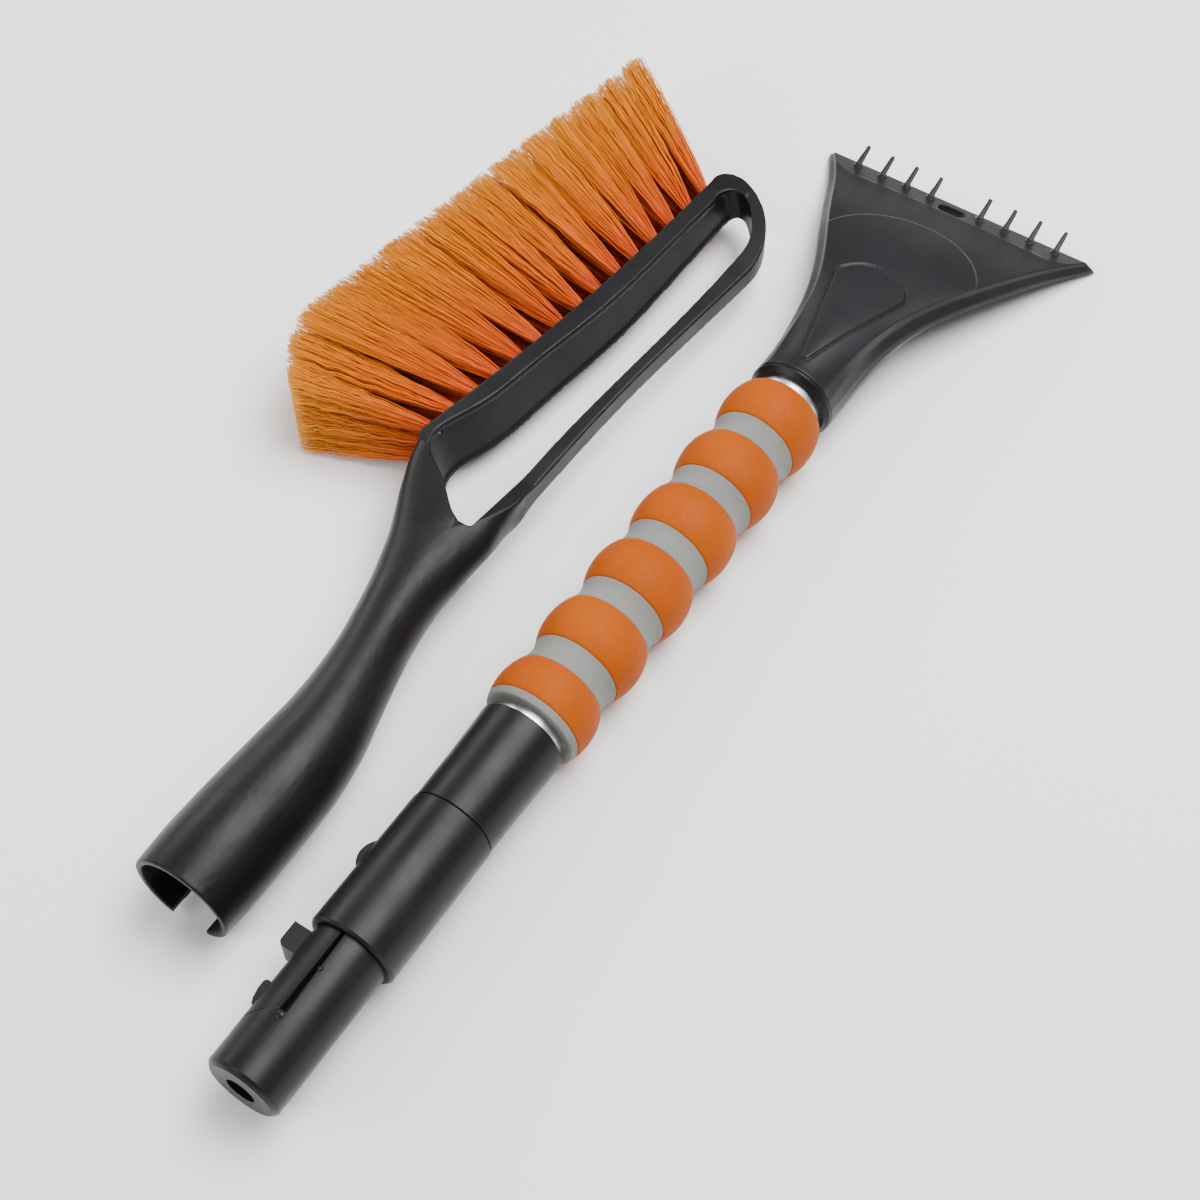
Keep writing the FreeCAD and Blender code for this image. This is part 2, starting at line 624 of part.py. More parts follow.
def socket_slots():
    """Open slot for the thumb button, and the window that the catch snaps into."""
    half = SLOT_WIDTH / 2
    slot = block(MOUTH_X - 1, MOUTH_X + SLOT_LENGTH, BRUSH_AXIS_Y - half, BRUSH_AXIS_Y + half, -30, -5)
    window = block(MOUTH_X + CATCH_WINDOW_START, MOUTH_X + CATCH_WINDOW_END, BRUSH_AXIS_Y - half,
                   BRUSH_AXIS_Y + half, -30, -5)
    return slot.fuse(window)


def brush_frame():
    arm = Part.makeLoft([arm_section(*s) for s in smoothed(ARM_STATIONS, 7.0)], True, False)
    loop = prism(loop_outline(), -BEAM_HALF_DEPTH, BEAM_HALF_DEPTH).common(wedge(0))
    frame = arm.fuse(loop)
    for side in (-1, 1):
        frame = frame.cut(rail_relief(side))
    frame = frame.cut(window_opening())
    recess = window_opening()
    recess.translate(V(0, UNDERCUT, 0))
    recess = recess.common(wedge(2.0)).common(block(205, 372, 60, 100, -20, 20))
    frame = frame.cut(recess)
    frame = frame.cut(socket_bore()).cut(socket_slots())
    holes = [tuft_hole(*tuft_line(row, k)) for row in range(TUFT_ROWS) for k in range(TUFTS_PER_ROW)]
    return frame.cut(Part.makeCompound(holes))


def tuft_line(row, k):
    """Root point on the beam's outer edge and the tip point of one tuft."""
    share = k / (TUFTS_PER_ROW - 1)
    root_x = BEAM_START.x + 4.5 + share * (BEAM_END.x - BEAM_START.x - 9.0)
    circle = beam_edge().toShape().Curve
    centre, radius = circle.Center, circle.Radius
    root_y = centre.y - math.sqrt(radius ** 2 - (root_x - centre.x) ** 2)
    tip_x = 205.0 + share * 200.0
    past_crest = tip_x - BRISTLE_CREST_X
    drop = 0.147 * past_crest if past_crest > 0 else 0.0165 * past_crest ** 2
    tip_y = BRISTLE_REACH_Y - 0.52 - drop
    level = row - (TUFT_ROWS - 1) / 2
    root_z = level * (beam_half_depth(root_x) - 3.6)
    tip_z = level * 13.0
    return V(root_x, root_y, root_z), V(tip_x, tip_y, tip_z)


def tuft_hole(root, tip):
    """Drilled hole, lined up with its tuft, from just outside the beam."""
    outside = 3.0
    way = (tip - root).normalize()
    return Part.makeCylinder(TUFT_ROOT_RADIUS + RUNNING_GAP, TUFT_HOLE_DEPTH + outside,
                             root + way * outside, way * -1)


def tuft(root, tip):
    anchor_room = 0.8
    stem_above = 1.5
    way = (tip - root).normalize()
    stem_length = TUFT_HOLE_DEPTH - anchor_room + stem_above
    foot = root - way * (TUFT_HOLE_DEPTH - anchor_room)
    stem = Part.makeCylinder(TUFT_ROOT_RADIUS, stem_length, foot, way)
    start = root + way * stem_above
    fan = Part.makeCone(TUFT_ROOT_RADIUS, TUFT_TIP_RADIUS, (tip - start).Length, start, way)
    return stem.fuse(fan).removeSplitter()


def bristle_row(row):
    return Part.makeCompound([tuft(*tuft_line(row, k)) for k in range(TUFTS_PER_ROW)])


def tuft_anchors():
    """Thin metal plates pressed into the bottoms of the tuft holes."""
    length, width, thickness = 2.7, 1.5, 0.6
    plates = []
    for row in range(TUFT_ROWS):
        for k in range(TUFTS_PER_ROW):
            root, tip = tuft_line(row, k)
            way = (tip - root).normalize()
            plate = Part.makeBox(length, width, thickness, V(-length / 2, -width / 2, 0))
            plate.Placement = FreeCAD.Placement(root - way * (TUFT_HOLE_DEPTH - 0.1),
                                                FreeCAD.Rotation(Z_AXIS, way)).multiply(plate.Placement)
            plates.append(plate)
    return Part.makeCompound(plates)


# ---- assembly ---------------------------------------------------------------------------
def sub_parts():
    parts = {
        "plug_body": plug_body(),
        "latch_lever": latch_lever(),
        "latch_hinge_pin": latch_pin_rod(LATCH_PIN_RADIUS),
        "latch_spring": latch_spring(),
        "collar": collar(),
        "end_sleeve": end_sleeve(),
        "plug_screw": plug_screw(),
        "handle_tube": handle_tube(),
        "neck_ring": neck_ring(),
        "tube_plug": tube_plug(),
        "head_screw": head_screw(),
        "scraper_head": scraper_head(),
        "brush_frame": brush_frame(),
        "tuft_anchors": tuft_anchors(),
    }
    parts.update(foam_rings())
    for row in range(TUFT_ROWS):
        parts["bristle_row_%d" % (row + 1)] = bristle_row(row)
    return parts


def write_all():
    os.makedirs("parts", exist_ok=True)
    for name, shape in sub_parts().items():
        shape.translate(ORIGIN * -1)
        shape.exportStep("parts/%s.step" % name)


write_all()
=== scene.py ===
import bpy
import json
import math
import numpy as np
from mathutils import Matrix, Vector


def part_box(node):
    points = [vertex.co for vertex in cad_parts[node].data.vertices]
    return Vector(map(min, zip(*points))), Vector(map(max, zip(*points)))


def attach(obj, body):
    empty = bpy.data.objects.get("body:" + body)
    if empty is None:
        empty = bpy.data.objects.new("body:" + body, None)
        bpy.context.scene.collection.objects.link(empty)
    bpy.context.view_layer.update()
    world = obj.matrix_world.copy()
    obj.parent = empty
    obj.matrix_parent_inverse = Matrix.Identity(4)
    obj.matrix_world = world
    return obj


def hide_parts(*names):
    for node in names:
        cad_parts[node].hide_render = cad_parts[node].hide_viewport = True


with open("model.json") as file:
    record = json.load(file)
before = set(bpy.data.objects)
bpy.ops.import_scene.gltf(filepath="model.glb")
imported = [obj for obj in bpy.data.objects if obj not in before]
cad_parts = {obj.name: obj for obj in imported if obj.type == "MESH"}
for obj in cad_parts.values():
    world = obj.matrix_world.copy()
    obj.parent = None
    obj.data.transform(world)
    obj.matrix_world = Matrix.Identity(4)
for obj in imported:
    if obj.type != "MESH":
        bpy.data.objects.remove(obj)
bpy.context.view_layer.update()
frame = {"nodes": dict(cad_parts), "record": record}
NODES = frame["nodes"]

# Everything is in the row frame, in metres: the handle lies along +X, the brush beside it on +Y.
# The design's own sizes are in mm from a point on the handle's axis, and at() places them.
MM = 0.001
PLUG_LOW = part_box("plug_body")[0]
TUBE_LOW, TUBE_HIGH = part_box("handle_tube")
PLUG_NOSE = 3 * MM                  # how far the plug's tip reaches back past the design's X = 0
ROW_X = PLUG_LOW.x + PLUG_NOSE
AXIS_Y = 0.5 * (TUBE_LOW.y + TUBE_HIGH.y)
AXIS_Z = 0.5 * (TUBE_LOW.z + TUBE_HIGH.z)
random = np.random.default_rng(7)


def at(x, y, z=0.0):
    """A point given in mm from the handle's axis, in the row frame."""
    return Vector((ROW_X + x * MM, AXIS_Y + y * MM, AXIS_Z + z * MM))


# ---- camera, light and floor --------------------------------------------------------------
LENS, SENSOR_WIDTH, NEAREST = 61.5, 36, 0.01
CAMERA_PLACE = at(-127.2, -203.8, 553.3)
LOOK_DOWN, HEADING = 55.20, 33.51   # degrees below level, and from +X towards +Y
SKY_STRENGTH = 0.30
FLOOR_SIZE, FLOOR_DROP = 12, 0.4 * MM
SOFTBOXES = (                       # name, place, width, height, watts; all face the row's middle
    ("key", (0.35, -0.30, 1.15), 1.1, 0.8, 34),
    ("left", (-1.0, 0.6, 0.8), 0.8, 0.5, 10),
    ("far", (0.5, 1.2, 0.7), 1.0, 0.4, 9),
)


def make_camera():
    data = bpy.data.cameras.new("camera")
    data.lens = LENS
    data.sensor_width = SENSOR_WIDTH
    data.clip_start = NEAREST
    camera = bpy.data.objects.new("camera", data)
    camera.location = CAMERA_PLACE
    camera.rotation_euler = (math.radians(90 - LOOK_DOWN), 0, math.radians(HEADING - 90))
    bpy.context.scene.collection.objects.link(camera)
    bpy.context.scene.camera = camera


def make_softbox(name, place, width, height, power):
    data = bpy.data.lights.new(name, "AREA")
    data.shape = "RECTANGLE"
    data.size = width
    data.size_y = height
    data.energy = power
    lamp = bpy.data.objects.new(name, data)
    lamp.location = place
    lamp.rotation_euler = (-Vector(place)).to_track_quat("-Z", "Y").to_euler()
    bpy.context.scene.collection.objects.link(lamp)


def make_room():
    world = bpy.data.worlds.new("studio")
    world.use_nodes = True
    sky = world.node_tree.nodes["Background"]
    sky.inputs["Color"].default_value = (1, 1, 1, 1)
    sky.inputs["Strength"].default_value = SKY_STRENGTH
    bpy.context.scene.world = world
    bpy.ops.mesh.primitive_plane_add(size=FLOOR_SIZE, location=(0, 0, -FLOOR_DROP))
    floor = bpy.context.object
    floor.name = "floor"
    paint = Paint("floor_paper")
    set_values(paint.shader, {"Base Color": (0.95, 0.95, 0.95, 1), "Roughness": 0.9})
    floor.data.materials.append(paint.material)
    for softbox in SOFTBOXES:
        make_softbox(*softbox)


# ---- materials ----------------------------------------------------------------------------
DUST = (0.05, 0.05, 0.052)
ALUMINIUM_DULL, ALUMINIUM_BRIGHT = (0.86, 0.87, 0.88), (0.95, 0.95, 0.95)
ZINC_DULL, ZINC_BRIGHT = (0.55, 0.56, 0.58), (0.78, 0.78, 0.79)
BRISTLE_SHADE_RAMP = (                    # share of the way from root to tip, and the dye there with painted shade: darker deep in the pack, paler at the lit tips
    (0.0, (0.50, 0.030, 0.0003)),
    (0.16, (0.68, 0.095, 0.0003)),
    (0.42, (0.76, 0.18, 0.0005)),
    (0.78, (0.80, 0.27, 0.0010)),
    (1.0, (0.84, 0.36, 0.0080)),
)
BRISTLE_DARK = (0.62, 0.090, 0.0003)


class Paint:
    """A material under construction, with short ways to add its nodes."""

    def __init__(self, name):
        self.material = bpy.data.materials.new(name)
        self.material.use_nodes = True
        self.nodes = self.material.node_tree.nodes
        self.links = self.material.node_tree.links
        self.shader = self.nodes["Principled BSDF"]
        self.coords = self.nodes.new("ShaderNodeTexCoord")

    def link(self, output, socket):
        self.links.new(output, socket)

    def place(self, stretch=(1, 1, 1)):
        """Object coordinates, in metres, stretched along each axis."""
        mapping = self.nodes.new("ShaderNodeMapping")
        mapping.inputs["Scale"].default_value = stretch
        self.link(self.coords.outputs["Object"], mapping.inputs["Vector"])
        return mapping.outputs["Vector"]

    def noise(self, scale, detail=3.0, roughness=0.55, stretch=(1, 1, 1)):
        texture = self.nodes.new("ShaderNodeTexNoise")
        texture.inputs["Scale"].default_value = scale
        texture.inputs["Detail"].default_value = detail
        texture.inputs["Roughness"].default_value = roughness
        self.link(self.place(stretch), texture.inputs["Vector"])
        return texture.outputs["Fac"]

    def cells(self, scale):
        texture = self.nodes.new("ShaderNodeTexVoronoi")
        texture.inputs["Scale"].default_value = scale
        self.link(self.place(), texture.inputs["Vector"])
        return texture.outputs["Distance"]

    def spread(self, value, low, high, start=0.0, end=1.0):
        """Maps low..high of value to start..end."""
        node = self.nodes.new("ShaderNodeMapRange")
        node.inputs["From Min"].default_value = low
        node.inputs["From Max"].default_value = high
        node.inputs["To Min"].default_value = start
        node.inputs["To Max"].default_value = end
        self.link(value, node.inputs["Value"])
        return node.outputs["Result"]

    def mix(self, factor, a, b):
        """Colour between a and b; each is a colour or an output."""
        node = self.nodes.new("ShaderNodeMix")
        node.data_type = "RGBA"
        self.link(factor, node.inputs["Factor"])
        for socket, colour in ((node.inputs[6], a), (node.inputs[7], b)):
            if isinstance(colour, tuple):
                socket.default_value = (*colour, 1)
            else:
                self.link(colour, socket)
        return node.outputs[2]

    def bump(self, height, strength, distance, below=None):
        node = self.nodes.new("ShaderNodeBump")
        node.inputs["Strength"].default_value = strength
        node.inputs["Distance"].default_value = distance
        self.link(height, node.inputs["Height"])
        if below is not None:
            self.link(below, node.inputs["Normal"])
        return node.outputs["Normal"]


def set_values(shader, values):
    for name, value in values.items():
        shader.inputs[name].default_value = value


def moulded_plastic(name, colour, rough):
    """Satin black moulded plastic: fine spark-eroded grain, handling marks, dust in the grain."""
    paint = Paint(name)
    set_values(paint.shader, {"IOR": 1.5, "Specular IOR Level": 0.19})
    light = tuple(c * 1.6 + 0.001 for c in colour)
    cloud = paint.spread(paint.noise(26, detail=4.0), 0.35, 0.7)
    base = paint.mix(cloud, colour, light)
    dust = paint.spread(paint.noise(1900, detail=2.0), 0.66, 0.8, start=0.0, end=0.3)
    paint.link(paint.mix(dust, base, DUST), paint.shader.inputs["Base Color"])
    handled = paint.noise(60, detail=5.0, roughness=0.65)
    wear = paint.spread(handled, 0.3, 0.75, start=rough - 0.05, end=rough + 0.09)
    paint.link(wear, paint.shader.inputs["Roughness"])
    streaks = paint.noise(240, roughness=0.6, stretch=(0.35, 1, 1))
    rub = paint.bump(streaks, strength=0.05, distance=0.0004)
    skin = paint.bump(paint.noise(2600, detail=2.0), strength=0.16, distance=0.00012, below=rub)
    paint.link(skin, paint.shader.inputs["Normal"])
    return paint.material


def closed_cell_foam(name, colour, deep, pale):
    """EVA foam: fine leathery cells, soft mottling, pores darkened with painted shade."""
    paint = Paint(name)
    set_values(paint.shader, {"IOR": 1.46, "Specular IOR Level": 0.12})
    mottle = paint.spread(paint.noise(38, detail=4.0, roughness=0.6), 0.3, 0.72)
    body = paint.mix(mottle, deep, colour)
    speck = paint.spread(paint.noise(900, detail=2.0, roughness=0.6), 0.5, 0.8, start=0.0, end=0.5)
    body = paint.mix(speck, body, pale)
    # Painted shade: the colour darkens towards the deep colour in each pore.
    pore_shade = paint.spread(paint.cells(1500), 0.0, 0.22, start=0.5, end=0.0)
    paint.link(paint.mix(pore_shade, body, deep), paint.shader.inputs["Base Color"])
    gloss = paint.spread(paint.noise(420), 0.3, 0.7, start=0.5, end=0.68)
    paint.link(gloss, paint.shader.inputs["Roughness"])
    wave = paint.bump(paint.noise(190, roughness=0.6), strength=0.12, distance=0.0006)
    skin = paint.bump(paint.cells(1250), strength=0.22, distance=0.0003, below=wave)
    paint.link(skin, paint.shader.inputs["Normal"])
    return paint.material


def satin_aluminium(name):
    """Drawn tube, brushed round its axis."""
    paint = Paint(name)
    set_values(paint.shader, {"Metallic": 1.0})
    turned = paint.noise(900, roughness=0.6, stretch=(1, 0.08, 0.08))
    shade = paint.spread(turned, 0.3, 0.7)
    paint.link(paint.mix(shade, ALUMINIUM_DULL, ALUMINIUM_BRIGHT), paint.shader.inputs["Base Color"])
    gloss = paint.spread(turned, 0.3, 0.7, start=0.26, end=0.42)
    paint.link(gloss, paint.shader.inputs["Roughness"])
    paint.link(paint.bump(turned, strength=0.08, distance=0.0001), paint.shader.inputs["Normal"])
    return paint.material


def zinc_steel(name):
    """Plated steel of the screws, pin, spring and anchors, in faint patches."""
    paint = Paint(name)
    set_values(paint.shader, {"Metallic": 1.0})
    patch = paint.spread(paint.noise(700, detail=4.0), 0.3, 0.7)
    paint.link(paint.mix(patch, ZINC_DULL, ZINC_BRIGHT), paint.shader.inputs["Base Color"])
    paint.link(paint.spread(patch, 0, 1, start=0.22, end=0.4), paint.shader.inputs["Roughness"])
    grain = paint.bump(paint.noise(1500), strength=0.1, distance=0.0001)
    paint.link(grain, paint.shader.inputs["Normal"])
    return paint.material


def bristle_fibre(name):
    """Dyed bristle with painted shade: darker red-orange deep in the pack, paler and yellower towards the
    lit tips.
    """
    paint = Paint(name)
    set_values(paint.shader, {"IOR": 1.5, "Specular IOR Level": 0.3})
    along = paint.nodes.new("ShaderNodeAttribute")
    along.attribute_name = "along"
    tone = paint.nodes.new("ShaderNodeAttribute")
    tone.attribute_name = "tone"
    # The ramp paints shade: darker towards the roots deep in the pack, paler where the tips catch the
    # light.
    ramp = paint.nodes.new("ShaderNodeValToRGB")
    ramp.color_ramp.elements[0].color = (*BRISTLE_SHADE_RAMP[0][1], 1)
    ramp.color_ramp.elements[1].color = (*BRISTLE_SHADE_RAMP[-1][1], 1)
    for place, colour in BRISTLE_SHADE_RAMP[1:-1]:
        ramp.color_ramp.elements.new(place).color = (*colour, 1)
    paint.link(along.outputs["Fac"], ramp.inputs["Fac"])
    darker = paint.spread(tone.outputs["Fac"], 0.0, 1.0, start=0.0, end=0.55)
    dye_and_shade = paint.mix(darker, ramp.outputs["Color"], BRISTLE_DARK)
    paint.link(dye_and_shade, paint.shader.inputs["Base Color"])
    gloss = paint.spread(paint.noise(500), 0.3, 0.7, start=0.34, end=0.5)
    paint.link(gloss, paint.shader.inputs["Roughness"])
    return paint.material


# ---- geometry helpers ---------------------------------------------------------------------
def mesh_object(name, points, faces):
    mesh = bpy.data.meshes.new(name)
    mesh.from_pydata([tuple(p) for p in points], [], faces)
    mesh.update()
    mesh.shade_smooth()
    piece = bpy.data.objects.new(name, mesh)
    bpy.context.scene.collection.objects.link(piece)
    return piece


def apply_modifiers(piece):
    """Leaves the piece with the mesh its modifiers give, and no modifiers."""
    bpy.context.view_layer.update()
    graph = bpy.context.evaluated_depsgraph_get()
    mesh = bpy.data.meshes.new_from_object(piece.evaluated_get(graph))
    piece.modifiers.clear()
    piece.data = mesh


SMOOTH_FACTOR = 0.5
CRISP_SHARE = 0.25                  # how much of the smoothing reaches the part kept crisp


def softened_copy(node, voxel, rounds, name, crisp_from=None):
    """A copy of a CAD node with its edges rounded as a moulding's are; less so past crisp_from."""
    piece = bpy.data.objects.new(name, NODES[node].data.copy())
    bpy.context.scene.collection.objects.link(piece)
    remesh = piece.modifiers.new("remesh", "REMESH")
    remesh.mode = "VOXEL"
    remesh.voxel_size = voxel
    remesh.use_smooth_shade = True
    apply_modifiers(piece)
    smooth = piece.modifiers.new("smooth", "SMOOTH")
    smooth.factor = SMOOTH_FACTOR
    smooth.iterations = rounds
    if crisp_from is not None:
        group = piece.vertex_groups.new(name="soft")
        crisp = [v.index for v in piece.data.vertices if v.co.x > crisp_from]
        group.add(range(len(piece.data.vertices)), 1.0, "REPLACE")
        group.add(crisp, CRISP_SHARE, "REPLACE")
        smooth.vertex_group = "soft"
    apply_modifiers(piece)
    return piece


def dress(piece, body, node, material):
    """Puts a piece in the place of a CAD node."""
    piece.data.materials.clear()
    piece.data.materials.append(material)
    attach(piece, body)
    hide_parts(node)


# ---- foam grip ----------------------------------------------------------------------------
GRIP_RADIUS = 18 * MM
LOBE_ARC = 20.5 * MM                # radius of a lobe's crown, seen from the side
LOBE_PITCH = 27.6 * MM
LOBES = 6
FIRST_LOBE_X = at(148, 0).x
ORANGE_HALF = LOBE_PITCH / 3
TUBE_BORE = 12.55 * MM
RING_ACROSS, RING_AROUND = 26, 160  # points along a ring's outside and round it
EDGE_EASE, EDGE_DEPTH = 0.55 * MM, 0.32 * MM
EASE_STEPS = np.array([0.15, 0.4, 0.7])


def crest_radius(dx):
    return GRIP_RADIUS - LOBE_ARC + np.sqrt(LOBE_ARC ** 2 - dx ** 2)


def valley_radius(dx):
    half = LOBE_PITCH / 2 - ORANGE_HALF
    slope = ORANGE_HALF / math.sqrt(LOBE_ARC ** 2 - ORANGE_HALF ** 2)
    arc = half * math.sqrt(1 + slope ** 2) / slope
    rise = math.sqrt(arc ** 2 - half ** 2)
    return crest_radius(ORANGE_HALF) + rise - np.sqrt(arc ** 2 - dx ** 2)


def soft_wander(angle, x, seed):
    """Slow unevenness of hand-fitted foam, a tenth of a millimetre or so."""
    a = np.sin(2 * angle + seed) * np.sin(0.31 * x / MM + seed)
    b = np.sin(5 * angle + 1.7 * seed + 0.22 * x / MM)
    return 0.07 * MM * a + 0.04 * MM * b


def ring_stations(low_x, high_x):
    """Places along a ring's outside, closer together where its edges are eased."""
    x = np.linspace(low_x, high_x, RING_ACROSS)
    x = np.concatenate([[low_x], low_x + EDGE_EASE * EASE_STEPS, x[1:-1],
                        high_x - EDGE_EASE * EASE_STEPS[::-1], [high_x]])
    return np.sort(x)


def ring_faces(rings):
    """Quads between neighbouring rings of points, the last joined back to the first."""
    faces = []
    for i in range(rings):
        n = (i + 1) % rings
        for j in range(RING_AROUND):
            k = (j + 1) % RING_AROUND
            corners = ((i, j), (i, k), (n, k), (n, j))
            faces.append(tuple(ring * RING_AROUND + spot for ring, spot in corners))
    return faces


def foam_ring(node, middle, crest, material):
    """One laminated ring, its outer edges eased where it is glued to its neighbours."""
    low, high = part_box(node)
    x = ring_stations(low.x, high.x)
    radius = crest_radius(x - middle) if crest else valley_radius(x - middle)
    edge = np.minimum(x - low.x, high.x - x)
    radius = radius - EDGE_DEPTH * np.clip(1 - edge / EDGE_EASE, 0, 1) ** 2
    angle = np.linspace(0, 2 * math.pi, RING_AROUND, endpoint=False)
    wander = soft_wander(angle[None, :], x[:, None], 10 * middle)
    bore = np.full(RING_AROUND, TUBE_BORE)
    rings = [(low.x, bore)] + [(px, r + w) for px, r, w in zip(x, radius, wander)] + [(high.x, bore)]
    points = [(px, AXIS_Y + r * math.cos(a), AXIS_Z + r * math.sin(a))
              for px, rs in rings for r, a in zip(rs, angle)]
    piece = mesh_object(node + "_skin", points, ring_faces(len(rings)))
    dress(piece, "handle", node, material)


def make_grip(orange, grey):
    foam_ring("foam_grey_1", FIRST_LOBE_X, True, grey)
    for k in range(LOBES):
        middle = FIRST_LOBE_X + k * LOBE_PITCH
        foam_ring("foam_orange_%d" % (k + 1), middle, True, orange)
        if k < LOBES - 1:
            foam_ring("foam_grey_%d" % (k + 2), middle + LOBE_PITCH / 2, False, grey)


# ---- bristles -----------------------------------------------------------------------------
ROWS, TUFTS = 3, 15
STRANDS, STRAND_STEPS, STRAND_RADIUS = 310, 14, 0.20 * MM
TIP_THINNESS = 0.62                 # a strand's thickness at its tip, against its root
LOCKS = 16                          # small bundles in one tuft whose strands keep together
LOCK_PULL = 0.6                     # how far a lock gathers its strands: 0 not at all, 1 wholly
LOCK_REACH_SIDE, LOCK_REACH_UP = 1.15, 1.1             # locks' middles, against the tuft's crown
LOCK_JITTER = 0.06
LOCK_SHORT, STRAND_SHORT = 0.9, 0.7                    # mm, how much shorter either may be
FOOT_RADIUS = 1.5 * MM
CROWN_REACH, END_CROWN_REACH = 8.6 * MM, 6.5 * MM      # half a tuft's width at its tips
CROWN_HEIGHT = 7.6 * MM
FAN_START, FAN_POWER = 0.03, 0.60   # where a tuft starts to open, and how early it is full
CRIMP_LEAST, CRIMP_MORE = 0.25, 0.35                   # mm
CRIMP_TURNS, CRIMP_GROWTH, CRIMP_JITTER = (3.2, 6.4), 0.8, 0.5
STRAND_SINK = 2.5 * MM              # how far a strand starts inside the beam
BEAM_START, BEAM_MIDDLE, BEAM_END = at(213, 95), at(290, 83.3), at(374, 77.5)
END_MARGIN = 4.5 * MM
BEAM_HALF_DEPTH, BEAM_TAPER, WALL = 11, 4, 3.6         # mm, half the beam's depth at its start
TIP_START, TIP_SPAN = 205, 200      # mm along the handle, for the first and last tufts' tips
TIP_MARGIN = 0.52                   # mm
TIP_ROW_PITCH = 13 * MM
HEIGHT_LIMIT = 17.4 * MM            # strands stay this close to the axis, up and down
REACH_Y = at(0, 160.3).y
CREST_X = at(233.6, 0).x            # where the trimmed tips reach out furthest
TRIM_SLOPE, TRIM_CURVE = 0.147, 0.0165                 # past the crest, and before it
TRIM_MARGIN, TRIM_MOST, TRIM_RAGGED = 0.3 * MM, 2.5 * MM, 1.3 * MM


def circle_through(a, b, c):
    """Centre and radius of the circle through three points in the ground plane."""
    m = np.array([[b.x - a.x, b.y - a.y], [c.x - b.x, c.y - b.y]])
    squares = [p.xy.length_squared for p in (a, b, c)]
    centre = np.linalg.solve(m, np.diff(squares) / 2)
    return centre, math.hypot(a.x - centre[0], a.y - centre[1])


def trim_drop(past):
    """How far the trimmed outline falls back, in mm, at so many mm past its crest."""
    return np.where(past > 0, TRIM_SLOPE * past, TRIM_CURVE * past ** 2)


def tuft_line(row, k):
    """Where one tuft leaves the beam, and the middle of its tips."""
    share = k / (TUFTS - 1)
    span = BEAM_END.x - BEAM_START.x
    root_x = BEAM_START.x + END_MARGIN + share * (span - 2 * END_MARGIN)
    centre, radius = circle_through(BEAM_START, BEAM_MIDDLE, BEAM_END)
    root_y = centre[1] - math.sqrt(radius ** 2 - (root_x - centre[0]) ** 2)
    tip_x = at(TIP_START + share * TIP_SPAN, 0).x
    drop = float(trim_drop((tip_x - CREST_X) / MM))
    level = row - (ROWS - 1) / 2
    depth = BEAM_HALF_DEPTH - BEAM_TAPER * (root_x - BEAM_START.x) / span
    root = Vector((root_x, root_y, AXIS_Z + level * (depth - WALL) * MM))
    return root, Vector((tip_x, REACH_Y - (TIP_MARGIN + drop) * MM, AXIS_Z + level * TIP_ROW_PITCH))


def squeezed(height, limit, sharpness=6):
    """Bends heights smoothly back inside plus or minus limit."""
    return height / (1 + np.abs(height / limit) ** sharpness) ** (1 / sharpness)


def tuft_spread(lock, reach):
    """Each strand's offsets to the side and up, at its foot and at its crown."""
    count = len(lock)
    lock_a = random.permutation(np.linspace(-1, 1, LOCKS)) + random.normal(0, LOCK_JITTER, LOCKS)
    lock_b = random.uniform(-1, 1, LOCKS)
    spin = random.uniform(0, 2 * math.pi, count)
    out = np.sqrt(random.uniform(0, 1, count))
    loose_a, loose_b = random.uniform(-1, 1, count), random.uniform(-1, 1, count)
    crown_a = reach * ((1 - LOCK_PULL) * loose_a + LOCK_PULL * lock_a[lock] * LOCK_REACH_SIDE)
    crown_b = CROWN_HEIGHT * ((1 - LOCK_PULL) * loose_b + LOCK_PULL * lock_b[lock] * LOCK_REACH_UP)
    foot_a = FOOT_RADIUS * (out * np.cos(spin) * 0.5 + 0.5 * lock_a[lock])
    foot_b = FOOT_RADIUS * (out * np.sin(spin))
    return (foot_a, crown_a), (foot_b, crown_b)


def tuft_crimp(lock, t):
    """Waves along each strand, to the side and up, growing towards the tips."""
    wave_a = (CRIMP_LEAST + CRIMP_MORE * random.uniform(0, 1, LOCKS)[lock]) * MM
    wave_b = (CRIMP_LEAST + CRIMP_MORE * random.uniform(0, 1, LOCKS)[lock]) * MM
    turns = random.uniform(*CRIMP_TURNS, LOCKS)[lock]
    phase = random.uniform(0, 2 * math.pi, (2, LOCKS))[:, lock]
    phase = phase + random.normal(0, CRIMP_JITTER, (2, len(lock)))
    grow = t ** CRIMP_GROWTH
    return [grow * wave[:, None] * np.sin(2 * math.pi * turns[:, None] * t + start[:, None])
            for wave, start in ((wave_a, phase[0]), (wave_b, phase[1]))]


def strand_paths(root, tip, reach):
    """Centre lines of one tuft's strands, tight at the root and fanned to fill the row at the tips.

    Strands keep together in small locks, which share their crimp and lean towards a middle.
    """
    way = np.array((tip - root).normalized())
    length = (tip - root).length
    side = np.cross(way, (0, 0, 1))
    side /= np.linalg.norm(side)
    up = np.cross(side, way)
    t = np.linspace(0, 1, STRAND_STEPS)
    fan = np.clip((t - FAN_START) / (1 - FAN_START), 0, 1) ** FAN_POWER
    lock = random.integers(0, LOCKS, STRANDS)
    spread = tuft_spread(lock, reach)
    lock_ends = random.uniform(-LOCK_SHORT, 0.0, LOCKS)[lock]
    ends = (lock_ends + random.uniform(-STRAND_SHORT, 0.0, STRANDS)) * MM
    crimp = tuft_crimp(lock, t)
    a, b = [foot[:, None] * (1 - fan) + crown[:, None] * fan + wave
            for (foot, crown), wave in zip(spread, crimp)]
    s = -STRAND_SINK + t * (length + STRAND_SINK + ends[:, None])
    paths = np.array(root) + s[..., None] * way + a[..., None] * side + b[..., None] * up
    paths[..., 2] = AXIS_Z + squeezed(paths[..., 2] - AXIS_Z, HEIGHT_LIMIT)
    return trimmed(paths)


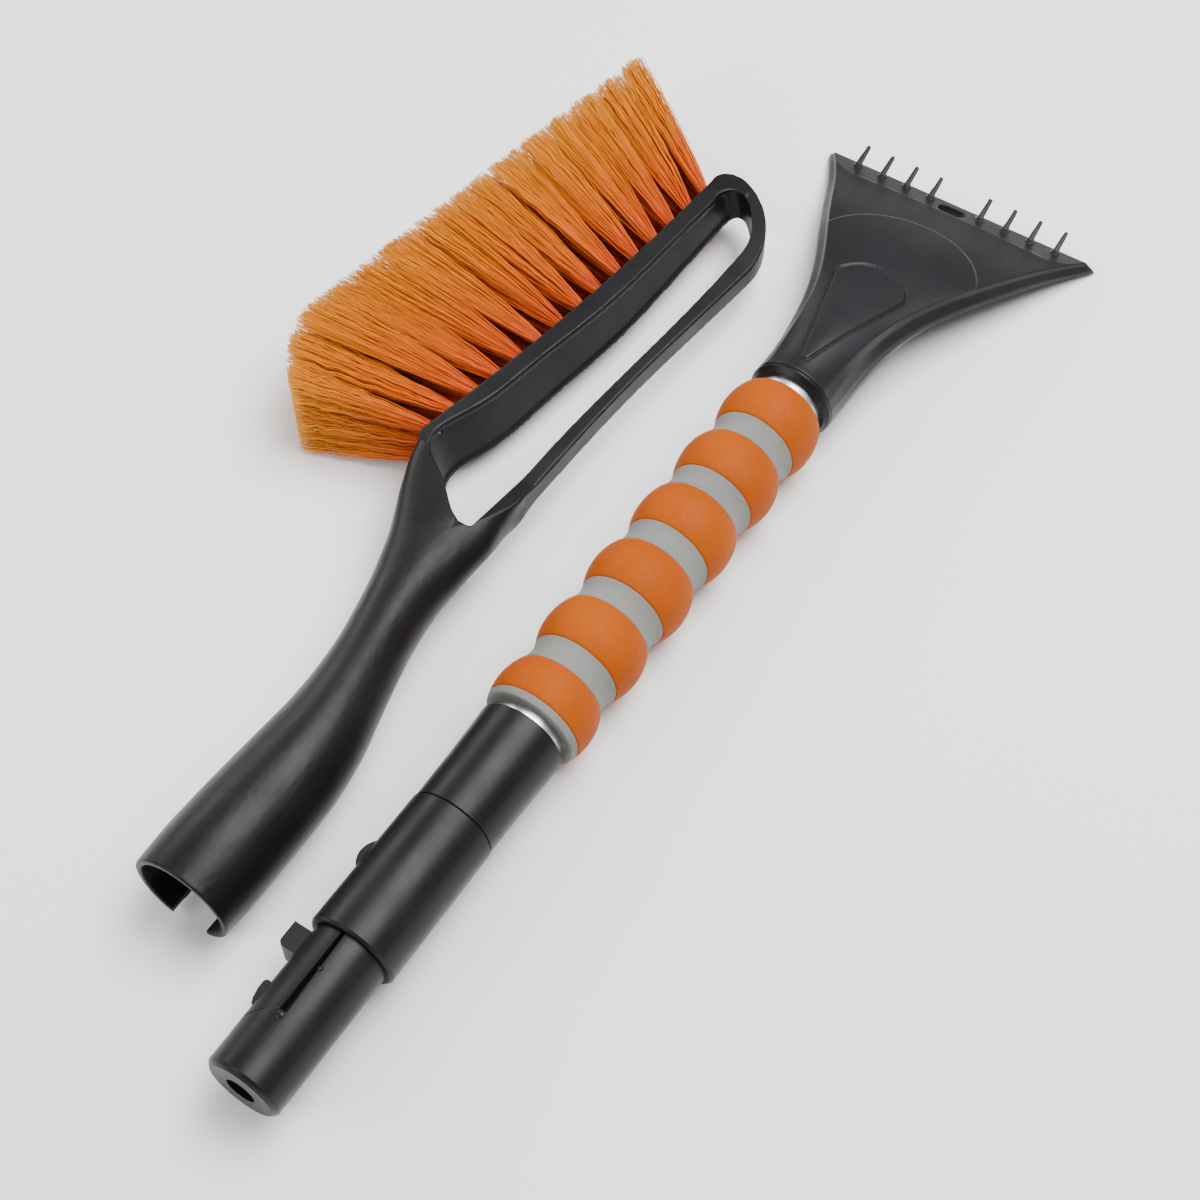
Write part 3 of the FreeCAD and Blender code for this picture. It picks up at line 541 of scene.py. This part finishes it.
def trimmed(paths):
    """Brings the tips to the brush's trimmed outline, a little raggedly."""
    tips = paths[:, -1, :]
    drop = trim_drop((tips[:, 0] - CREST_X) / MM) * MM
    over = (REACH_Y - TRIM_MARGIN - drop) - tips[:, 1]
    over = np.minimum(over, TRIM_MOST) - random.uniform(0, TRIM_RAGGED, len(tips))
    share = np.linspace(0, 1, STRAND_STEPS) ** 2
    paths[..., 1] += over[:, None] * share[None, :]
    return paths


def strand_mesh(name, paths, radius):
    """Thin three-sided tubes along every path, tapering to their tips.

    Each point carries two values for the material: along, from root to tip, and the strand's tone.
    """
    count, steps, _ = paths.shape
    ahead = np.gradient(paths, axis=1)
    ahead /= np.linalg.norm(ahead, axis=2, keepdims=True)
    right = np.cross(ahead, (0, 0, 1))
    right /= np.linalg.norm(right, axis=2, keepdims=True)
    over = np.cross(right, ahead)
    thin = radius * np.linspace(1.0, TIP_THINNESS, steps)[None, :, None, None]
    turn = (2 * math.pi * np.arange(3) / 3)[None, None, :, None]
    ring = np.cos(turn) * right[:, :, None] + np.sin(turn) * over[:, :, None]
    points = (paths[:, :, None] + thin * ring).reshape(-1, 3)
    start = (np.arange(count)[:, None, None] * steps + np.arange(steps - 1)[None, :, None]) * 3
    here = np.arange(3)[None, None, :]
    there = (here + 1) % 3
    quads = np.stack([start + here, start + there, start + there + 3, start + here + 3], -1).reshape(-1, 4)
    first = np.arange(count) * steps * 3
    last = first + (steps - 1) * 3
    caps = np.concatenate([np.stack([first + 2, first + 1, first], 1),
                           np.stack([last, last + 1, last + 2], 1)])
    mesh = bpy.data.meshes.new(name)
    mesh.vertices.add(len(points))
    mesh.vertices.foreach_set("co", points.astype(np.float32).ravel())
    mesh.loops.add(quads.size + caps.size)
    mesh.loops.foreach_set("vertex_index", np.concatenate([quads.ravel(), caps.ravel()]).astype(np.int32))
    mesh.polygons.add(len(quads) + len(caps))
    starts = np.concatenate([np.arange(len(quads)) * 4, quads.size + np.arange(len(caps)) * 3])
    mesh.polygons.foreach_set("loop_start", starts.astype(np.int32))
    mesh.update(calc_edges=True)
    mesh.validate()
    mesh.shade_smooth()
    along = np.repeat(np.tile(np.linspace(0, 1, steps), count), 3)
    tone = np.repeat(random.beta(1.6, 3.0, count), steps * 3)
    for label, values in (("along", along), ("tone", tone)):
        mesh.attributes.new(label, "FLOAT", "POINT").data.foreach_set("value", values.astype(np.float32))
    piece = bpy.data.objects.new(name, mesh)
    bpy.context.scene.collection.objects.link(piece)
    return piece


def make_bristles(material):
    for row in range(ROWS):
        paths = []
        for k in range(TUFTS):
            reach = END_CROWN_REACH if k in (0, TUFTS - 1) else CROWN_REACH
            paths.append(strand_paths(*tuft_line(row, k), reach))
        node = "bristle_row_%d" % (row + 1)
        piece = strand_mesh(node + "_strands", np.concatenate(paths), STRAND_RADIUS)
        dress(piece, "brush", node, material)


# ---- build --------------------------------------------------------------------------------
BRUSH_VOXEL, BRUSH_ROUNDS = 0.42 * MM, 7
HEAD_VOXEL, HEAD_ROUNDS = 0.36 * MM, 4
TEETH_FROM_X = at(423, 0).x         # the blade's edge and teeth, past here, keep their sharpness


def paint_nodes(materials):
    """Gives every CAD node the material of its slot in the record."""
    slots = {s["node"]: s["material_slot"] for s in frame["record"]["subparts"]}
    for node, piece in NODES.items():
        piece.data.materials.clear()
        piece.data.materials.append(materials[slots[node]])


materials = {
    "handle_plastic": moulded_plastic("handle_plastic", (0.0056, 0.0058, 0.0068), 0.36),
    "latch_plastic": moulded_plastic("latch_plastic", (0.0060, 0.0065, 0.0074), 0.40),
    "head_plastic": moulded_plastic("head_plastic", (0.0085, 0.0088, 0.0100), 0.38),
    "brush_plastic": moulded_plastic("brush_plastic", (0.0050, 0.0051, 0.0060), 0.38),
    "foam_orange": closed_cell_foam("foam_orange", (0.38, 0.072, 0.0002), (0.32, 0.055, 0.0002),
                                    (0.42, 0.086, 0.0006)),
    "foam_grey": closed_cell_foam("foam_grey", (0.21, 0.21, 0.198), (0.165, 0.165, 0.156),
                                  (0.25, 0.25, 0.237)),
    "aluminium_tube": satin_aluminium("aluminium_tube"),
    "steel": zinc_steel("steel"),
    "bristle_orange": bristle_fibre("bristle_orange"),
}
make_camera()
make_room()
paint_nodes(materials)
make_grip(materials["foam_orange"], materials["foam_grey"])
make_bristles(materials["bristle_orange"])
loop = softened_copy("brush_frame", BRUSH_VOXEL, BRUSH_ROUNDS, "brush_moulding")
dress(loop, "brush", "brush_frame", materials["brush_plastic"])
head = softened_copy("scraper_head", HEAD_VOXEL, HEAD_ROUNDS, "scraper_moulding", TEETH_FROM_X)
dress(head, "handle", "scraper_head", materials["head_plastic"])
